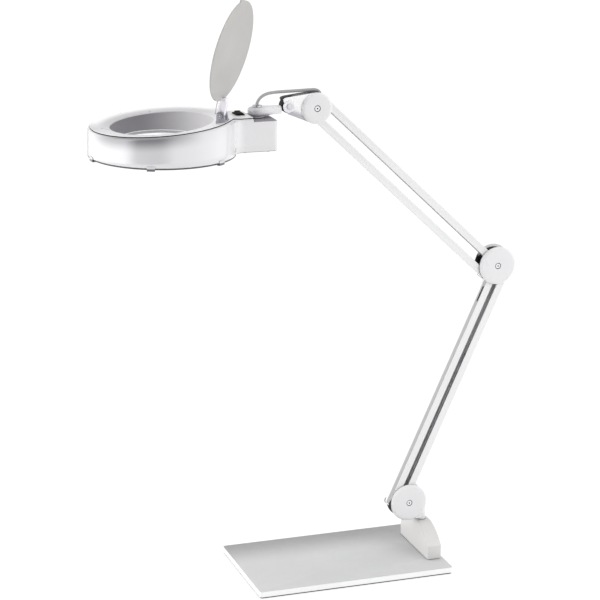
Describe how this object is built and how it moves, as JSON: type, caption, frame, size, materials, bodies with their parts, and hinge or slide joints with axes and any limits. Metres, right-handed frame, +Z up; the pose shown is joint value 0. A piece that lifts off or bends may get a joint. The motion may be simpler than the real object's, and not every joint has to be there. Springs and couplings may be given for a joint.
{
  "type": "magnifying lamp",
  "caption": "Bench magnifying lamp: weighted base plate, two parallelogram arms, and a tilting, panning round head with ring lamp, lens and flip-up lens lid.",
  "frame": {"origin": "base swivel axis at the underside of the base pad", "axes": "+Z up, -X from the foot block towards the lamp head, arms folding in the XZ plane"},
  "size_m": [0.7027, 0.2505, 0.9501],
  "materials": {
    "black_rubber": "matte",
    "white_paint": "satin powder coat",
    "warm_white_paint": "satin powder coat",
    "grey_paint": "satin",
    "steel": "brushed",
    "black_steel": "satin black",
    "spring_steel": "drawn wire",
    "white_plastic": "gloss",
    "grey_plastic": "matte",
    "black_plastic": "satin",
    "lilac_plastic": "gloss, slightly translucent",
    "lid_plastic": "frosted, slightly translucent",
    "clear_plastic": "clear, ribbed",
    "lens_glass": "polished",
    "lamp_glass": "opal",
    "cable_pvc": "smooth sheath"
  },
  "bodies": {
    "base": {"base_pad": "black_rubber", "base_plate": "white_paint", "foot_gasket": "black_rubber", "foot_block": "warm_white_paint", "foot_screws": "steel", "swivel_bush": "grey_plastic"},
    "swivel": {"swivel_pin": "steel", "swivel_collar": "white_plastic", "base_bracket": "white_paint", "base_cheeks": "black_steel", "bracket_rivets": "steel", "base_cap_front": "white_plastic", "base_cap_rear": "white_plastic", "base_cap_screws": "steel", "base_pivot_pins": "steel"},
    "lower_arm": {"lower_main_bar": "white_paint", "lower_spring": "spring_steel"},
    "lower_guide": {"lower_guide_bar": "white_paint"},
    "elbow": {"elbow_cheeks": "black_steel", "elbow_cap_front": "white_plastic", "elbow_cap_rear": "white_plastic", "elbow_cap_screws": "steel", "elbow_pivot_pins": "steel"},
    "upper_arm": {"upper_main_bar": "white_paint", "upper_spring": "spring_steel"},
    "upper_guide": {"upper_guide_bar": "white_paint"},
    "wrist": {"wrist_hood": "white_plastic", "wrist_cap_front": "white_plastic", "wrist_cap_rear": "white_plastic", "wrist_cap_screws": "steel", "wrist_pivot_pins": "steel", "tilt_pin": "steel", "head_cable": "cable_pvc"},
    "link": {"tilt_knuckle": "black_plastic", "head_link": "grey_paint"},
    "head": {"pan_washer": "black_plastic", "pan_tube": "steel", "pan_nut": "steel", "head_housing": "white_plastic", "diffuser": "clear_plastic", "diffuser_clips": "clear_plastic", "neck_cover": "white_plastic", "neck_screws": "steel", "lens": "lens_glass", "lens_ring": "white_plastic", "ring_lamp": "lamp_glass", "lamp_clips": "spring_steel", "lamp_socket": "white_plastic", "ballast": "black_plastic", "switch_bezel": "black_plastic", "lid_bracket": "lilac_plastic", "lid_hinge_pin": "steel"},
    "switch": {"switch_rocker": "black_plastic"},
    "lid": {"lens_lid": "lid_plastic", "lid_spring": "spring_steel"}
  },
  "joints": [
    {"name": "base_swivel", "type": "hinge", "parent": "base", "child": "swivel", "pos_m": [0, 0, 0.07], "axis": [0, 0, 1], "range_deg": [-170, 170]},
    {"name": "lower_arm_fold", "type": "hinge", "parent": "swivel", "child": "lower_arm", "pos_m": [-0.0342, 0, 0.096], "axis": [0, 1, 0], "range_deg": [-62, 11]},
    {"name": "lower_guide_pivot", "type": "hinge", "parent": "swivel", "child": "lower_guide", "pos_m": [-0.0553, 0, 0.096], "axis": [0, 1, 0], "range_deg": [-62, 11]},
    {"name": "elbow_level", "type": "hinge", "parent": "lower_arm", "child": "elbow", "pos_m": [0.1322, 0, 0.4725], "axis": [0, 1, 0], "range_deg": [-11, 62]},
    {"name": "upper_arm_fold", "type": "hinge", "parent": "elbow", "child": "upper_arm", "pos_m": [0.1155, 0, 0.4934], "axis": [0, 1, 0], "range_deg": [-57, 55]},
    {"name": "upper_guide_pivot", "type": "hinge", "parent": "elbow", "child": "upper_guide", "pos_m": [0.097, 0, 0.4737], "axis": [0, 1, 0], "range_deg": [-57, 55]},
    {"name": "wrist_level", "type": "hinge", "parent": "upper_arm", "child": "wrist", "pos_m": [-0.1859, 0, 0.7766], "axis": [0, 1, 0], "range_deg": [-55, 57]},
    {"name": "head_tilt", "type": "hinge", "parent": "wrist", "child": "link", "pos_m": [-0.242, 0, 0.7687], "axis": [0, 1, 0], "range_deg": [-45, 60], "deforming": ["head_cable"]},
    {"name": "head_pan", "type": "hinge", "parent": "link", "child": "head", "pos_m": [-0.29, 0, 0.76], "axis": [0, 0, 1], "range_deg": [-90, 90]},
    {"name": "lid_hinge", "type": "hinge", "parent": "head", "child": "lid", "pos_m": [-0.36505, -0.06139, 0.77277], "axis": [0.622, 0.7815, 0.0479], "range_deg": [-106.7, 5]},
    {"name": "switch_rock", "type": "hinge", "parent": "head", "child": "switch", "pos_m": [-0.32, 0, 0.7575], "axis": [1, 0, 0], "range_deg": [-12, 0]}
  ],
  "couplings": [
    {"joint": "lower_guide_pivot", "follows": "lower_arm_fold", "ratio": 1},
    {"joint": "elbow_level", "follows": "lower_arm_fold", "ratio": -1},
    {"joint": "upper_guide_pivot", "follows": "upper_arm_fold", "ratio": 1},
    {"joint": "wrist_level", "follows": "upper_arm_fold", "ratio": -1}
  ]
}
